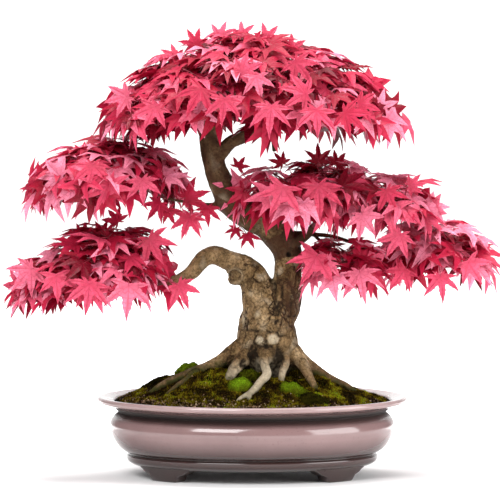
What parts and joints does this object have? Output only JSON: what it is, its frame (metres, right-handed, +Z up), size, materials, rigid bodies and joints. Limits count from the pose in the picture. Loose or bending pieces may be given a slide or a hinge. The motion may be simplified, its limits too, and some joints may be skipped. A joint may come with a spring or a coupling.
{
  "type": "deshojo japanese maple bonsai",
  "caption": "Red-leaved Japanese maple bonsai with a curved trunk, surface roots and layered leaf pads, planted in mossy soil in a footed oval glazed pot.",
  "frame": {"origin": "centre of the whole part's box, at the plane that the pot's feet stand on", "axes": "+X to the right as the tree's front is seen, along the pot's long side; +Y towards the back; +Z up"},
  "size_m": [0.4958, 0.271, 0.4506],
  "materials": {
    "glaze": "gloss",
    "screen": "matte",
    "soil": "matte",
    "bark": "matte",
    "moss": "matte",
    "leaf": "satin"
  },
  "bodies": {
    "root": {"pot": "glaze", "drain_screen_left": "screen", "drain_screen_right": "screen", "soil": "soil", "trunk": "bark", "moss_cushion_1": "moss", "moss_cushion_2": "moss", "moss_cushion_3": "moss", "moss_cushion_4": "moss", "moss_cushion_5": "moss", "moss_cushion_6": "moss", "moss_cushion_7": "moss", "moss_cushion_8": "moss", "crown_leaves": "leaf", "upper_right_leaves": "leaf", "left_mid_leaves": "leaf", "left_low_leaves": "leaf", "right_mid_leaves": "leaf", "right_low_leaves": "leaf", "centre_low_leaves": "leaf"}
  },
  "joints": []
}
